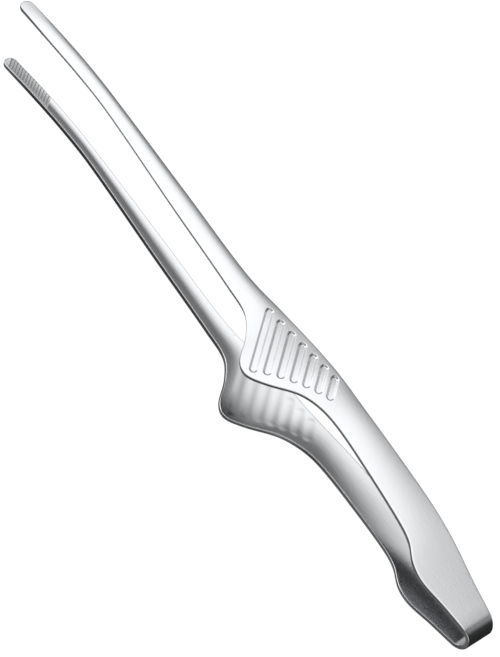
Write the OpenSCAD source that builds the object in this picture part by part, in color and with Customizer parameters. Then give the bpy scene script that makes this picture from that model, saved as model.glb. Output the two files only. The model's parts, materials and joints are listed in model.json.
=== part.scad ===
// Stamp tongs: one strip of sheet steel folded at the bow, with a grooved finger
// lobe and a serrated jaw on each arm. The strip is drawn in its own frame, with
// the bow at X = 0, the jaws towards -X and the two arms mirrored about Z = 0.
// It is then laid down on the flat outer face of its lower arm.
// A station is a distance from the bow along the strip, and Y is across it.

/* [Strip] */
// Thickness of the sheet
sheet = 0.9; // [0.6:0.05:1.2]
// Station of the ends of the jaws, which is the whole length
length = 155; // [150:1:200]

/* [Bow] */
// Outer radius of the fold
bow_r = 3.2; // [2.6:0.1:4]
// Width of the strip at the fold
bow_w = 6.2; // [5:0.1:7]
// Angle between each heel plate and the mid-plane
plate_angle = 5.6; // [4:0.1:7]
// Station where the bow meets the heel plates
bow_end = 5; // [4:0.5:7]

/* [Heel plates] */
// Station where the heel plates end and the handles begin
heel_end = 21; // [20:0.5:24]
// Reach of the shoulder towards the lobe's side
shoulder_reach = 4.6; // [3:0.1:6]

/* [Handles] */
// Station where the handles end and the finger lobes begin
handle_end = 49; // [47:0.5:50]
// Width of the handle at its middle
handle_w = 7.6; // [6:0.1:9]

/* [Finger lobes] */
// Station of the lobe's corner
lobe_at = 63; // [62:0.5:65]
// Reach of the lobe's corner from the bow's centre line
lobe_reach = 8.8; // [7:0.1:11]
// Station where the finger lobes end and the shanks begin
lobe_end = 77; // [76:0.5:80]
// Half height of the outer faces where the flat face of the arm begins
lobe_h = 8.15; // [8:0.05:8.4]
// Number of pressed grooves in a lobe
groove_count = 7; // [3:1:8]
// Width of a groove
groove_w = 1.3; // [0.8:0.1:1.6]
// Depth of a groove
groove_depth = 0.3; // [0.1:0.05:0.45]
// Length of the longest groove between its end centres
groove_len = 13.7; // [11:0.1:14]
// Station of the longest groove's end near the straight edge
groove_start = 71.7; // [71:0.1:73]
// Distance between grooves along the strip
groove_pitch = 3.13; // [2.8:0.01:3.2]
// Angle of the grooves and serrations to the strip
groove_angle = 51; // [45:1:60]

/* [Shanks and jaws] */
// Width of the shank where it leaves the lobe
shank_w = 5.2; // [4:0.1:6.5]
// Width of the shank at its narrow end
jaw_w = 3.4; // [2.5:0.1:4.5]
// Station where the shanks end and the serrated jaws begin
shank_end = 140; // [138:1:142]
// Angle between the flat face of each arm and the mid-plane
rest_angle = 0.55; // [0.2:0.05:1]
// Distance between serrations along the strip
tooth_pitch = 0.85; // [0.6:0.05:1.2]
// Depth of a serration
tooth_depth = 0.2; // [0.1:0.05:0.3]
// Number of serrations on a jaw
tooth_count = 15; // [6:1:15]

/* [Hidden] */
$fn = 96;

steel = [0.78, 0.79, 0.80];
dark_steel = [0.62, 0.64, 0.66];

wall = sheet / cos(plate_angle);             // sheet, measured square to the mid-plane
tangent_at = bow_r * (1 - sin(plate_angle)); // station where the fold becomes flat
tangent_h = bow_r * cos(plate_angle);
shoulder_at = heel_end - 4;
flat_at = lobe_at - 5.5;                     // station where the flat outer face begins
tip_at = length - 1.5;                       // station where the round tip begins
step = 0.75;                                 // distance between points of a drawn curve
groove_side = 3.9;                           // Y of the longest groove's end near the straight edge
groove_drift = 0.34;                         // change of that Y from groove to groove
groove_close = 0.025;                        // by which the pitch shrinks, times the groove's number
groove_shorten = [2.22, -0.1];               // change of length with the groove's number and its square
grow = 1;                                    // overshoot of a cutting shape
room = 40;                                   // more than the strip's width or height

// Half heights of the outer face from the fold to the flat face
height_points = [[tangent_at, tangent_h],
                 [shoulder_at, tangent_h + (shoulder_at - tangent_at) * tan(plate_angle)],
                 [36, 6.2], [46, 7.1], [52, 7.83], [flat_at - 2, lobe_h - 0.04],
                 [flat_at, lobe_h]];

// Edge of the strip on the lobe's side
left_points = [[0, -bow_w / 2], [8, -3.9], [shoulder_at - 3.5, -shoulder_reach],
               [shoulder_at, 0.7 - shoulder_reach], [heel_end - 0.5, -1.9], [24, -1],
               [34, 7.6 - handle_w], [45, 0.6], [50, 0], [54.5, -2],
               [lobe_at - 3.5, 2.2 - lobe_reach], [lobe_at, -lobe_reach],
               [lobe_at + 3, 1.1 - lobe_reach], [69.5, -3.6], [73.5, -0.6], [80, 5.5 - shank_w],
               [100, 1.8], [125, 7.2 - jaw_w], [135, 3.9], [length - 10, 3.5], [length, 3]];

// Edge of the strip on the other side
right_points = [[0, bow_w / 2], [8, 4.4], [shoulder_at, 6.3], [24, 7.2], [34, 7.6], [46, 7.7],
                [60, 7.3], [70, 6.4], [80, 5.4], [100, 6.2], [125, 7.2], [135, 7.35],
                [length - 10, 6.9], [length, 6]];

// Slope at one point of a curve, from the points on each side of it
function slope(p, i) =
    let (a = p[max(i - 1, 0)], b = p[min(i + 1, len(p) - 1)]) (b[1] - a[1]) / (b[0] - a[0]);

// Value of a smooth curve through points at one station
function along(p, s, i = 0) =
    i < len(p) - 2 && s > p[i + 1][0] ? along(p, s, i + 1)
    : let (w = p[i + 1][0] - p[i][0], u = (s - p[i][0]) / w)
      p[i][1] * (2 * u * u * u - 3 * u * u + 1) + p[i + 1][1] * (3 * u * u - 2 * u * u * u)
      + slope(p, i) * w * (u * u * u - 2 * u * u + u) + slope(p, i + 1) * w * (u * u * u - u * u);

function left_edge(s) = along(left_points, s);
function right_edge(s) = along(right_points, s);
function outer_h(s) =
    s > flat_at ? lobe_h + (s - flat_at) * tan(rest_angle) : along(height_points, s);

function inner_h(s) = outer_h(s) - wall;
function stations(a, b) = [for (i = [0:ceil((b - a) / step)]) min(a + i * step, b)];

// Outline seen from above between two stations
module plan(a, b) {
    s = stations(a, b);
    polygon(concat([for (v = s) [-v, left_edge(v)]],
                   [for (i = [len(s) - 1:-1:0]) [-s[i], right_edge(s[i])]]));
}

// Outline of a jaw, which ends in a round tip
module jaw_plan() {
    s = stations(shank_end, tip_at);
    mid = (left_edge(tip_at) + right_edge(tip_at)) / 2;
    tip_r = (right_edge(tip_at) - left_edge(tip_at)) / 2;
    polygon(concat([for (v = s) [-v, left_edge(v)]],
                   [for (a = [-80:10:80]) [-tip_at - (length - tip_at) * cos(a), mid + tip_r * sin(a)]],
                   [for (i = [len(s) - 1:-1:0]) [-s[i], right_edge(s[i])]]));
}

// Layer of the upper arm between two depths below its outer face, seen from the side
module side(a, b, top, bottom) {
    s = stations(a, b);
    polygon(concat([for (v = s) [-v, outer_h(v) - top]],
                   [for (i = [len(s) - 1:-1:0]) [-s[i], outer_h(s[i]) - bottom]]));
}

module across() {
    rotate([90, 0, 0]) linear_extrude(room, center = true) children();
}

module upright() {
    linear_extrude(room, center = true) children();
}

// One length of the upper arm
module arm(a, b) {
    intersection() {
        across() side(a - grow, b + grow, 0, wall);
        upright() plan(a, b);
    }
}

module groove_plan(i) {
    run = groove_len - groove_shorten[0] * i - groove_shorten[1] * i * i;
    at = groove_pitch * i - groove_close * i * i - groove_start;
    translate([at, groove_side + groove_drift * i]) rotate(-groove_angle) {
        circle(d = groove_w, $fn = 24);
        translate([run, 0]) circle(d = groove_w, $fn = 24);
        translate([0, -groove_w / 2]) square([run, groove_w]);
    }
}

// The grooves of the upper lobe, between two depths below the outer face
module grooves(top, bottom) {
    for (i = [0:groove_count - 1]) intersection() {
        across() side(handle_end - 2, lobe_end + 2, top, bottom);
        upright() groove_plan(i);
    }
}

module lobe() {
    difference() {
        union() {
            arm(handle_end, lobe_end);
            intersection() {
                grooves(wall / 2, wall + groove_depth);
                upright() plan(handle_end, lobe_end);
            }
        }
        grooves(-grow, groove_depth);
    }
}

module jaw() {
    difference() {
        intersection() {
            across() side(shank_end - grow, length + grow, 0, wall);
            upright() jaw_plan();
        }
        for (i = [0:tooth_count - 1]) serration(length - 1.6 - i * tooth_pitch);
    }
}

// A diagonal notch in the inner face of the upper jaw
module serration(s) {
    translate([-s, (left_edge(s) + right_edge(s)) / 2, inner_h(s)])
        rotate([0, 0, -groove_angle]) rotate([45, 0, 0])
            cube([2 * jaw_w, tooth_depth * sqrt(2), tooth_depth * sqrt(2)], center = true);
}

// Lays the strip on the flat outer face of the lower arm, centred above the origin
module lay_down() {
    s = stations(0, length);
    x = (length * cos(rest_angle) + outer_h(length) * sin(rest_angle)) / 2;
    y = (min([for (v = s) left_edge(v)]) + max([for (v = s) right_edge(v)])) / 2;
    translate([x, -y, lobe_h * cos(rest_angle) - flat_at * sin(rest_angle)])
        rotate([0, rest_angle, 0]) children();
}

module upper(shade) {
    color(shade) lay_down() children();
}

module lower(shade) {
    color(shade) lay_down() mirror([0, 0, 1]) children();
}

// Side outline of the fold and its plates, to a radius and the half height at its open end
module fold_side(r, end_at, end_h) {
    at = bow_r - r * sin(plate_angle);
    h = r * cos(plate_angle);
    translate([-bow_r, 0]) circle(r = r);
    polygon([[-at, h], [-end_at, end_h], [-end_at, -end_h], [-at, -h]]);
}

// The fold itself, with the first millimetres of both plates
module bow_spring() {
    color(dark_steel) lay_down() intersection() {
        across() difference() {
            fold_side(bow_r, bow_end, outer_h(bow_end));
            fold_side(bow_r - sheet, bow_end + grow, inner_h(bow_end + grow));
        }
        upright() plan(0, bow_end);
    }
}

module upper_heel_plate() { upper(steel) arm(bow_end, heel_end); }
module lower_heel_plate() { lower(steel) arm(bow_end, heel_end); }
module upper_handle() { upper(steel) arm(heel_end, handle_end); }
module lower_handle() { lower(steel) arm(heel_end, handle_end); }
module upper_finger_lobe() { upper(steel) lobe(); }
module lower_finger_lobe() { lower(steel) lobe(); }
module upper_shank() { upper(steel) arm(lobe_end, shank_end); }
module lower_shank() { lower(steel) arm(lobe_end, shank_end); }
module upper_jaw() { upper(dark_steel) jaw(); }
module lower_jaw() { lower(dark_steel) jaw(); }

bow_spring();
upper_heel_plate();
lower_heel_plate();
upper_handle();
lower_handle();
upper_finger_lobe();
lower_finger_lobe();
upper_shank();
lower_shank();
upper_jaw();
lower_jaw();
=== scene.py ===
import json
import math

import bmesh
import bpy
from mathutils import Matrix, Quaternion, Vector


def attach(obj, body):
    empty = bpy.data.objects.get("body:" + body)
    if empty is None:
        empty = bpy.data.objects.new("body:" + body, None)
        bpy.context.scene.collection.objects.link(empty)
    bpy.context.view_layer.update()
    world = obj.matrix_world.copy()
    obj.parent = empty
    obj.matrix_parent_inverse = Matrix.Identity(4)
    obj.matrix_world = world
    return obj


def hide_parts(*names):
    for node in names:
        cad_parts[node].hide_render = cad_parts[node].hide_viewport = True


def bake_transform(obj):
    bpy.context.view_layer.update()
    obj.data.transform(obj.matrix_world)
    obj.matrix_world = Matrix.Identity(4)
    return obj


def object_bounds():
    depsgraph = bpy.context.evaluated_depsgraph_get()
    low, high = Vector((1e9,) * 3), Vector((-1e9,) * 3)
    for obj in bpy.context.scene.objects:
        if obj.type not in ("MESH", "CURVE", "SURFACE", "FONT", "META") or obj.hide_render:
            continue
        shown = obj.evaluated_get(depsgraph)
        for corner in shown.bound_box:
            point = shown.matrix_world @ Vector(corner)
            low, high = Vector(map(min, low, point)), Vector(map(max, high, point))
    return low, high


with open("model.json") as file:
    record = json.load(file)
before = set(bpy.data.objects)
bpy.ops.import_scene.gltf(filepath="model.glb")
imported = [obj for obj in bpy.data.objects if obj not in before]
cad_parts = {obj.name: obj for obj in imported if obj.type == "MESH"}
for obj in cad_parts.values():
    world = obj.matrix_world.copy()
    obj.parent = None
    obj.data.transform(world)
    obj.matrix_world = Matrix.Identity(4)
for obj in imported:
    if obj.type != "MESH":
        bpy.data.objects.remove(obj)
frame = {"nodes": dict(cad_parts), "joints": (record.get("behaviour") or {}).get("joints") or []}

mm = 0.001
startBox = [list(corner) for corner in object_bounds()]
print("frame loaded:", len(frame["nodes"]), "CAD nodes")

# The tongs are one strip of sheet steel folded double. It is shaped in its own place, with the
# fold at x = 0, the arms running towards -x and the mid-plane at z = 0, and laid down at the end.
# A station is a distance from the fold along the strip, in millimetres.
strip = {
    "sheet": 0.9,
    "length": 155,
    "samples": 400,            # places where its outline is measured
    "columns": 12,
    "foldRadius": 3.2,
    "foldAngle": 16,           # of the strip to the mid-plane where the fold's arc ends, degrees
    "foldRows": 12,
    "restAngle": 0.55,         # between an arm's flat face and the mid-plane, degrees
    "flatAt": 57.5,            # station where the flat outer face begins
    "flatHeight": 8.15,
    "edgeRound": 0.17,
    "smoothing": 2,
    "rimSegments": 3,
    "nearFold": (5, 3.9),      # stations of the rows between the heel plate and the arc
    "merge": 0.002,
    "smoothBelow": 40,         # edges sharper than this stay sharp, degrees
}
# half height of the outer face, up to the flat
heightPoints = [(2.888, 3.185), (17, 4.568), (36, 6.2), (46, 7.1), (52, 7.83), (55.5, 8.11), (57.5, 8.15)]
# edge on the lobe's side, and the other edge
lobeEdge = [(0, -3.1), (8, -3.9), (13.5, -4.6), (17, -3.9), (20.5, -1.9), (24, -1), (34, 0),
            (45, 0.6), (50, 0), (54.5, -2), (59.5, -6.6), (63, -8.8), (66, -7.7), (69.5, -3.6),
            (73.5, -0.6), (80, 0.3), (100, 1.8), (125, 3.8), (135, 3.9), (145, 3.5), (155, 3)]
backEdge = [(0, 3.1), (8, 4.4), (17, 6.3), (24, 7.2), (34, 7.6), (46, 7.7), (60, 7.3), (70, 6.4),
            (80, 5.4), (100, 6.2), (125, 7.2), (135, 7.35), (145, 6.9), (155, 6)]
# how far the long edges curl inwards
crownPoints = [(0, 0), (5, 0.02), (17, 0.06), (30, 0.25), (49, 0.45), (63, 0.55), (77, 0.5),
               (110, 0.48), (140, 0.4), (147, 0.28), (151, 0.12), (155, 0.03)]
crownShift = 0.35              # where the crown's ridge lies, from the middle (0) to the back edge (1)
# stations between the named pieces, and the spacing of rows in each stretch
sections = [("heel_plate", 5, 21, 1.0), ("handle", 21, 49, 1.4), ("finger_lobe", 49, 77, 0.7),
            ("shank", 77, 140, 1.3), ("jaw", 140, 153.5, 0.65)]
# the rounded end: its rows as shares of its reach, and how far they spread along the strip
tip = {"start": 153.5, "reach": 1.5, "rows": (1, 0.55, 0.2), "spread": 1.1, "gap": 1.4}


# value at a station of the smooth curve through the points
def curveAt(points, station):
    index = 0
    while index < len(points) - 2 and station > points[index + 1][0]:
        index += 1
    before, start, end, after = (points[max(0, min(len(points) - 1, index + k))] for k in (-1, 0, 1, 2))
    width = end[0] - start[0]
    u = (station - start[0]) / width
    slopeStart = (end[1] - before[1]) / (end[0] - before[0])
    slopeEnd = (after[1] - start[1]) / (after[0] - start[0])
    ease = u * u * (3 - 2 * u)
    bend = slopeStart * (u ** 3 - 2 * u * u + u) + slopeEnd * (u ** 3 - u * u)
    return start[1] + (end[1] - start[1]) * ease + width * bend


def outerHeight(station):
    if station > strip["flatAt"]:
        return strip["flatHeight"] + (station - strip["flatAt"]) * math.tan(math.radians(strip["restAngle"]))
    return curveAt(heightPoints, station)


def smooth(value):
    value = min(1, max(0, value))
    return value * value * (3 - 2 * value)


def editMode():
    bpy.ops.object.mode_set(mode="EDIT")


def objectMode():
    bpy.ops.object.mode_set(mode="OBJECT")


def onlySelect(piece):
    bpy.ops.object.select_all(action="DESELECT")
    piece.select_set(True)
    bpy.context.view_layer.objects.active = piece


# selects the vertices, edges or faces of the edited mesh that pass the test
def selectWhere(kind, test):
    bpy.ops.mesh.select_mode(type=kind)
    bpy.ops.mesh.select_all(action="DESELECT")
    mesh = bmesh.from_edit_mesh(bpy.context.object.data)
    for part in {"VERT": mesh.verts, "EDGE": mesh.edges, "FACE": mesh.faces}[kind]:
        if test(part):
            part.select_set(True)
    mesh.select_flush_mode()
    bmesh.update_edit_mesh(bpy.context.object.data)


def copyOf(piece, name):
    onlySelect(piece)
    bpy.ops.object.duplicate(linked=False)
    made = bpy.context.object
    made.name = name
    made.data.name = name
    return made


def applyModifier(piece, kind, **settings):
    onlySelect(piece)
    modifier = piece.modifiers.new(kind.title(), kind)
    for key, value in settings.items():
        setattr(modifier, key, value)
    bpy.ops.object.modifier_apply(modifier=modifier.name)


# one row across the sheet: its place, its two edges, its crown and how far its middle runs ahead
def rowAt(station, ahead=0):
    return {"x": -station, "z": outerHeight(station), "edges": edgesAt(station),
            "crown": curveAt(crownPoints, station), "ahead": ahead}


def edgesAt(station):
    return curveAt(lobeEdge, station), curveAt(backEdge, station)


def sheetRows():
    rows = [rowAt(tip["start"] - tip["spread"] * (1 - share), tip["reach"] * share) for share in tip["rows"]]
    for name, start, end, spacing in reversed(sections):
        if name == "jaw":
            end = tip["start"] - tip["gap"]
        count = math.ceil((end - start) / spacing)
        rows += [rowAt(end - (end - start) * k / count) for k in range(count)]
    rows += [rowAt(station) for station in strip["nearFold"]]
    radius = strip["foldRadius"]
    for k in range(strip["foldRows"] + 1):
        angle = math.radians(90 - strip["foldAngle"]) * (1 - k / strip["foldRows"])
        station = radius * (1 - math.cos(angle))
        rows.append({"x": -station, "z": radius * math.sin(angle), "edges": edgesAt(station),
                     "crown": curveAt(crownPoints, station), "ahead": 0})
    return rows


# the outer face of one arm, drawn row by row from the tip of the jaw to the fold
def drawSheet():
    rows = sheetRows()
    first = rows[0]
    width = first["edges"][1] - first["edges"][0]
    middle = sum(first["edges"]) / 2
    bpy.ops.object.select_all(action="DESELECT")
    bpy.ops.mesh.primitive_grid_add(x_subdivisions=1, y_subdivisions=strip["columns"], size=width * mm,
                                    location=((first["x"] + width / 2) * mm, middle * mm, first["z"] * mm))
    sheet = bpy.context.object
    sheet.name = "strip"
    bpy.ops.object.transform_apply(location=True, rotation=True, scale=True)
    editMode()
    selectWhere("VERT", lambda v: v.co.x > (first["x"] + width / 2) * mm)
    bpy.ops.mesh.delete(type="VERT")
    for column in range(strip["columns"] + 1):
        across = 2 * column / strip["columns"] - 1
        y = (middle + across * width / 2) * mm
        selectWhere("VERT", lambda v: abs(v.co.y - y) < 0.01 * mm)
        drop = first["crown"] * ((across - crownShift) / (1 + crownShift)) ** 2
        shift = (-first["ahead"] * math.sqrt(1 - across ** 2), 0, -drop)
        bpy.ops.transform.translate(value=Vector(shift) * mm)
    bpy.ops.mesh.select_mode(type="EDGE")
    bpy.ops.mesh.select_all(action="SELECT")
    for previous, row in zip(rows, rows[1:]):
        extendSheet(previous, row)
    objectMode()
    return sheet


def extendSheet(previous, row):
    middle = sum(row["edges"]) / 2
    move = (row["x"] - previous["x"], middle - sum(previous["edges"]) / 2, row["z"] - previous["z"])
    bpy.ops.mesh.extrude_edges_move(TRANSFORM_OT_translate={"value": Vector(move) * mm})
    wider = (row["edges"][1] - row["edges"][0]) / (previous["edges"][1] - previous["edges"][0])
    flatter = row["ahead"] / previous["ahead"] if previous["ahead"] else 1
    lower = row["crown"] / previous["crown"]
    bpy.ops.transform.resize(value=(flatter, wider, lower),
                             center_override=Vector((row["x"], middle, row["z"])) * mm)


def foldSheet(sheet):
    applyModifier(sheet, "MIRROR", use_axis=(False, False, True), merge_threshold=0.01 * mm)
    editMode()
    bpy.ops.mesh.select_all(action="SELECT")
    bpy.ops.mesh.normals_make_consistent(inside=False)
    objectMode()
    top = max(sheet.data.polygons, key=lambda face: face.center.z)
    if top.normal.z < 0:
        editMode()
        bpy.ops.mesh.flip_normals()
        objectMode()
    applyModifier(sheet, "SOLIDIFY", thickness=strip["sheet"] * mm, offset=-1, use_even_offset=True)
    applyModifier(sheet, "BEVEL", width=strip["edgeRound"] * mm, segments=strip["rimSegments"],
                  limit_method="ANGLE", angle_limit=math.radians(60), use_clamp_overlap=False)
    applyModifier(sheet, "SUBSURF", levels=strip["smoothing"], render_levels=strip["smoothing"])


# keeps the part of a piece on one side of a plane, and closes the cut
def cutAway(place, normal):
    bpy.ops.mesh.select_all(action="SELECT")
    bpy.ops.mesh.bisect(plane_co=Vector(place) * mm, plane_no=normal, use_fill=True, clear_outer=True)


def cutSection(whole, name, start, end):
    piece = copyOf(whole, name)
    editMode()
    cutAway((0, 0, 0), (0, 0, -1))
    cutAway((-start, 0, 0), (1, 0, 0))
    if end < tip["start"]:
        cutAway((-end, 0, 0), (-1, 0, 0))
    objectMode()
    return piece


def cutBow(whole):
    piece = copyOf(whole, "bow_spring_steel")
    editMode()
    cutAway((-sections[0][1], 0, 0), (-1, 0, 0))
    objectMode()
    return piece


# moves a piece's vertices along z by depth, each by its own weight from 0 to 1
def press(piece, name, depth, weightOf):
    group = piece.vertex_groups.new(name=name)
    for vertex in piece.data.vertices:
        weight = weightOf(vertex)
        if weight > 0:
            group.add([vertex.index], weight, "REPLACE")
    applyModifier(piece, "DISPLACE", vertex_group=name, direction="Z", mid_level=0, strength=depth * mm)
    piece.vertex_groups.remove(piece.vertex_groups[name])


grooves = {
    "count": 7,
    "width": 1.3,
    "depth": 0.34,
    "wall": 0.42,
    "backDepth": 0.04,         # how far their backs stand out of the inner face
    "backWall": 1.2,
    "angle": 51,               # to the strip, degrees
    "firstStation": 71.7,
    "pitch": 3.13,
    "pitchLoss": 0.025,
    "firstSide": 3.9,
    "sideStep": 0.34,
    "longest": 13.7,
    "shorter": (2.22, -0.1),   # loss of length with a groove's number and with its square
    "field": (50, 76),         # stations of the finer mesh
    "cuts": 2,
}


# start, direction and length of one groove, in the strip's millimetres
def grooveLine(index):
    x = grooves["pitch"] * index - grooves["pitchLoss"] * index ** 2 - grooves["firstStation"]
    start = Vector((x, grooves["firstSide"] + grooves["sideStep"] * index))
    turn = math.radians(-grooves["angle"])
    run = grooves["longest"] - grooves["shorter"][0] * index - grooves["shorter"][1] * index ** 2
    return start, Vector((math.cos(turn), math.sin(turn))), run


# how far a vertex lies from the centre line of the nearest groove
def grooveDistance(vertex):
    place = Vector((vertex.co.x, vertex.co.y)) / mm
    nearest = grooves["pitch"]
    for start, heading, run in grooveLines:
        along = min(run, max(0, (place - start).dot(heading)))
        nearest = min(nearest, (place - start - heading * along).length)
    return nearest


# from 1 in the groove to 0 outside it, across a wall of this width
def insideGroove(vertex, wall):
    return smooth((grooves["width"] / 2 + wall / 2 - grooveDistance(vertex)) / wall)


def grooveWeight(vertex):
    return insideGroove(vertex, grooves["wall"]) if vertex.normal.z >= 0.5 else 0


def grooveBackWeight(vertex):
    return insideGroove(vertex, grooves["backWall"]) if vertex.normal.z <= -0.5 else 0


grooveLines = [grooveLine(index) for index in range(grooves["count"])]


def pressGrooves(piece):
    low, high = grooves["field"]
    editMode()
    selectWhere("FACE", lambda face: abs(face.normal.z) > 0.9
                and low < -face.calc_center_median().x / mm < high)
    bpy.ops.mesh.subdivide(number_cuts=grooves["cuts"])
    objectMode()
    press(piece, "grooves", -grooves["depth"], grooveWeight)
    press(piece, "grooveBacks", -grooves["backDepth"], grooveBackWeight)


teeth = {
    "first": 153.4,
    "count": 15,
    "pitch": 0.85,
    "depth": 0.13,
    "angle": 51,
    "margin": 0.45,            # smooth border beside the lobe-side edge
    "cuts": 2,
}


def toothWeight(vertex):
    if vertex.normal.z > -0.3:
        return 0
    x, y = vertex.co.x / mm, vertex.co.y / mm
    low, high = edgesAt(-x)
    # station where the diagonal through this point meets the strip's middle
    station = -x - (y - (low + high) / 2) / math.tan(math.radians(teeth["angle"]))
    count = (teeth["first"] - station) / teeth["pitch"]
    if not -0.5 < count < teeth["count"] - 0.5:
        return 0
    notch = 1 - 2 * abs(count - round(count))
    return notch * smooth((y - low - teeth["margin"] / 2) / teeth["margin"])


def cutTeeth(piece):
    editMode()
    selectWhere("FACE", lambda face: face.normal.z < -0.3)
    bpy.ops.mesh.subdivide(number_cuts=teeth["cuts"])
    objectMode()
    press(piece, "teeth", teeth["depth"], toothWeight)


def closeUp(piece):
    onlySelect(piece)
    editMode()
    bpy.ops.mesh.select_all(action="SELECT")
    bpy.ops.mesh.remove_doubles(threshold=strip["merge"] * mm)
    bpy.ops.mesh.normals_make_consistent(inside=False)
    objectMode()
    bpy.ops.object.shade_smooth_by_angle(angle=math.radians(strip["smoothBelow"]))


def mirrored(piece, name):
    made = copyOf(piece, name)
    editMode()
    bpy.ops.mesh.select_all(action="SELECT")
    bpy.ops.transform.resize(value=(1, 1, -1), center_override=(0, 0, 0))
    objectMode()
    return made


# turns a piece from the strip's own place to where the frame holds it
def layDown(piece):
    tilt = math.radians(strip["restAngle"])
    stations = [k * strip["length"] / strip["samples"] for k in range(strip["samples"] + 1)]
    low = min(curveAt(lobeEdge, station) for station in stations) * mm
    fold = Vector(frame["joints"][0]["pos_m"])
    inset = strip["foldRadius"] * mm
    onlySelect(piece)
    piece.rotation_euler = (0, tilt, 0)
    piece.location = (fold.x + inset * math.cos(tilt), startBox[0][1] - low, fold.z - inset * math.sin(tilt))
    bpy.ops.object.transform_apply(location=True, rotation=True, scale=True)


# wraps a node's socket, so that maths on it is written as maths
class Wire:
    def __init__(self, tree, socket):
        self.tree = tree
        self.socket = socket

    def maths(self, operation, first, second):
        return self.tree.node("ShaderNodeMath", {"operation": operation}, {0: first, 1: second})

    def __add__(self, other):
        return self.maths("ADD", self, other)

    def __radd__(self, other):
        return self.maths("ADD", other, self)

    def __sub__(self, other):
        return self.maths("SUBTRACT", self, other)

    def __rsub__(self, other):
        return self.maths("SUBTRACT", other, self)

    def __mul__(self, other):
        return self.maths("MULTIPLY", self, other)

    def __rmul__(self, other):
        return self.maths("MULTIPLY", other, self)


class NodeTree:
    def __init__(self, owner):
        owner.use_nodes = True
        self.tree = owner.node_tree
        self.tree.nodes.clear()

    # adds a node: its type, its settings, then what its sockets hold or are linked to
    def node(self, kind, settings=None, sockets=None, output=0):
        made = self.tree.nodes.new(kind)
        for key, value in (settings or {}).items():
            setattr(made, key, value)
        for key, value in (sockets or {}).items():
            if isinstance(value, Wire):
                self.tree.links.new(value.socket, made.inputs[key])
            else:
                made.inputs[key].default_value = value
        return Wire(self, made.outputs[output]) if made.outputs else made


steelLook = {
    "light": (0.8, 0.812, 0.828, 1),
    "dark": (0.66, 0.673, 0.69, 1),
    "roughness": 0.22,
    "roughnessSpread": 0.06,
    "grainLength": 260,        # brushing, repeats per metre along the strip
    "grainFine": 4200,         # and across it
    "speckle": 2800,
    "cloud": 90,               # slow changes, repeats per metre
    "cloudSpread": 0.04,
    "grainShare": 0.7,         # of the colour's changes, the rest being slow
    "brushingShare": 0.6,      # of the grain, the rest being speckle
    "bump": 0.000012,
}


def satinSteel(name):
    material = bpy.data.materials.new(name)
    tree = NodeTree(material)
    place = tree.node("ShaderNodeTexCoord", output="Object")
    along, across = steelLook["grainLength"], steelLook["grainFine"]
    stretched = tree.node("ShaderNodeMapping", {}, {"Vector": place, "Scale": (along, across, across)})
    brushing = tree.node("ShaderNodeTexNoise", {}, {
        "Vector": stretched, "Scale": 1, "Detail": 3, "Roughness": 0.6})
    speckle = tree.node("ShaderNodeTexNoise", {}, {
        "Vector": place, "Scale": steelLook["speckle"], "Detail": 2})
    cloud = tree.node("ShaderNodeTexNoise", {}, {
        "Vector": place, "Scale": steelLook["cloud"], "Detail": 3})
    brushed, grained = steelLook["brushingShare"], steelLook["grainShare"]
    grain = brushing * brushed + speckle * (1 - brushed)
    colour = tree.node("ShaderNodeMix", {"data_type": "RGBA"}, {
        0: grain * grained + cloud * (1 - grained), 6: steelLook["dark"], 7: steelLook["light"]}, output=2)
    roughness = (steelLook["roughness"] + (grain - 0.5) * steelLook["roughnessSpread"]
                 + (cloud - 0.5) * steelLook["cloudSpread"])
    bump = tree.node("ShaderNodeBump", {}, {"Height": grain, "Distance": steelLook["bump"], "Strength": 1.0})
    shader = tree.node("ShaderNodeBsdfPrincipled", {}, {
        "Base Color": colour, "Metallic": 1.0, "Roughness": roughness, "Normal": bump})
    tree.node("ShaderNodeOutputMaterial", {}, {"Surface": shader})
    return material


def finishPiece(piece, material):
    closeUp(piece)
    layDown(piece)
    piece.data.materials.clear()
    piece.data.materials.append(material)


def makeTongs():
    whole = drawSheet()
    foldSheet(whole)
    print("strip folded:", len(whole.data.polygons), "faces")
    steel = satinSteel("satinSteel")
    bow = cutBow(whole)
    finishPiece(bow, steel)
    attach(bow, "bow")
    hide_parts("bow_spring")
    for name, start, end, spacing in sections:
        upper = cutSection(whole, "upper_" + name + "_steel", start, end)
        if name == "finger_lobe":
            pressGrooves(upper)
        if name == "jaw":
            cutTeeth(upper)
        lower = mirrored(upper, "lower_" + name + "_steel")
        for side, piece in (("upper", upper), ("lower", lower)):
            finishPiece(piece, steel)
            if name == "heel_plate":
                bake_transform(piece)
            else:
                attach(piece, side + "_arm")
            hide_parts(side + "_" + name)
        print(name, "made:", len(upper.data.polygons), "faces on each arm")
    bpy.data.objects.remove(whole)


camera = {
    "azimuth": 31.565,
    "elevation": 50.767,
    "distance": 427.7,
    "aim": (3.81, 4.15, 8.45),
    "roll": 25.33,
    "lens": 123.12,
}


def addCamera():
    azimuth, elevation = math.radians(camera["azimuth"]), math.radians(camera["elevation"])
    back = Vector((math.sin(azimuth) * math.cos(elevation), -math.cos(azimuth) * math.cos(elevation),
                   math.sin(elevation)))
    bpy.ops.object.camera_add(location=(Vector(camera["aim"]) + back * camera["distance"]) * mm)
    made = bpy.context.object
    turn = (-back).to_track_quat("-Z", "Y") @ Quaternion((0, 0, 1), math.radians(camera["roll"]))
    made.rotation_euler = turn.to_euler()
    made.data.lens = camera["lens"]
    made.data.sensor_width = 36
    made.data.clip_start = 0.01
    bpy.context.scene.camera = made


floorLook = {"size": 3.0, "drop": 0.0004, "shade": 0.12, "glow": 0.98}


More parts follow.
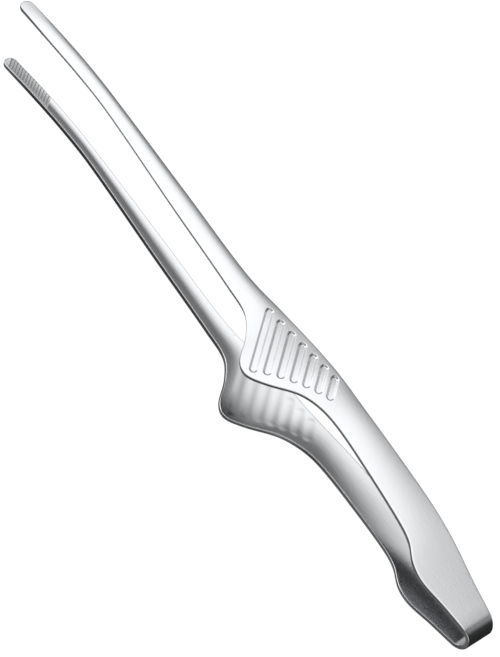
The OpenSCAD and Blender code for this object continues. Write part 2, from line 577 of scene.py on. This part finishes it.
def addFloor():
    bpy.ops.object.select_all(action="DESELECT")
    bpy.ops.mesh.primitive_plane_add(size=floorLook["size"], location=(0, 0, -floorLook["drop"]))
    floor = bpy.context.object
    floor.name = "floor"
    bpy.ops.object.transform_apply(location=True, rotation=True, scale=True)
    material = bpy.data.materials.new("paleFloor")
    tree = NodeTree(material)
    shade = floorLook["shade"]
    lit = tree.node("ShaderNodeBsdfDiffuse", {}, {"Color": (shade, shade, shade, 1)})
    glow = tree.node("ShaderNodeEmission", {}, {"Strength": floorLook["glow"]})
    shader = tree.node("ShaderNodeAddShader", {}, {0: lit, 1: glow})
    tree.node("ShaderNodeOutputMaterial", {}, {"Surface": shader})
    floor.data.materials.append(material)
    floor.visible_glossy = False


# a soft patch of the sky: where it is, its outer and inner half angles, and what it adds
sky = {
    "base": 0.02,
    "backdrop": 0.97,          # what the camera itself sees of it
    "patches": [((-0.27, 0.08, 0.96), 44, 20, 1.36), ((0.03, 1, 0.1), 50, 3, 0.28),
                ((-0.86, -0.33, 0.4), 30, 8, 1.9), ((-0.33, -0.88, 0.35), 30, 3, 0.25),
                ((-0.24, 0.96, -0.16), 28, 6, 0.7), ((-0.55, -0.33, -0.77), 41, 5, 0.12),
                ((0.55, -0.75, 0.35), 60, 15, 0.45), ((0.95, -0.25, 0.2), 45, 10, 0.35),
                ((-0.85, 0.5, 0.2), 35, 5, 0.5), ((0.35, 0.8, 0.5), 30, 5, 0.42),
                ((0.3, -0.5, -0.8), 55, 10, 0.06)],
}


def addSky():
    world = bpy.data.worlds.new("studioSky")
    bpy.context.scene.world = world
    tree = NodeTree(world)
    heading = tree.node("ShaderNodeTexCoord", output="Generated")
    light = None
    for direction, outer, inner, strength in sky["patches"]:
        unit = Vector(direction).normalized()
        nearness = tree.node("ShaderNodeVectorMath", {"operation": "DOT_PRODUCT"},
                             {0: heading, 1: unit}, output="Value")
        patch = tree.node("ShaderNodeMapRange", {"interpolation_type": "SMOOTHSTEP"}, {
            "Value": nearness, "From Min": math.cos(math.radians(outer)),
            "From Max": math.cos(math.radians(inner)), "To Min": 0.0, "To Max": strength})
        light = patch + sky["base"] if light is None else light + patch
    seen = tree.node("ShaderNodeLightPath", output="Is Camera Ray")
    strength = light * (1 - seen) + seen * sky["backdrop"]
    background = tree.node("ShaderNodeBackground", {}, {"Color": (1, 1, 1, 1), "Strength": strength})
    tree.node("ShaderNodeOutputWorld", {}, {"Surface": background})


addCamera()
addFloor()
addSky()
bpy.context.scene.view_settings.view_transform = "Standard"
print("studio ready")
makeTongs()
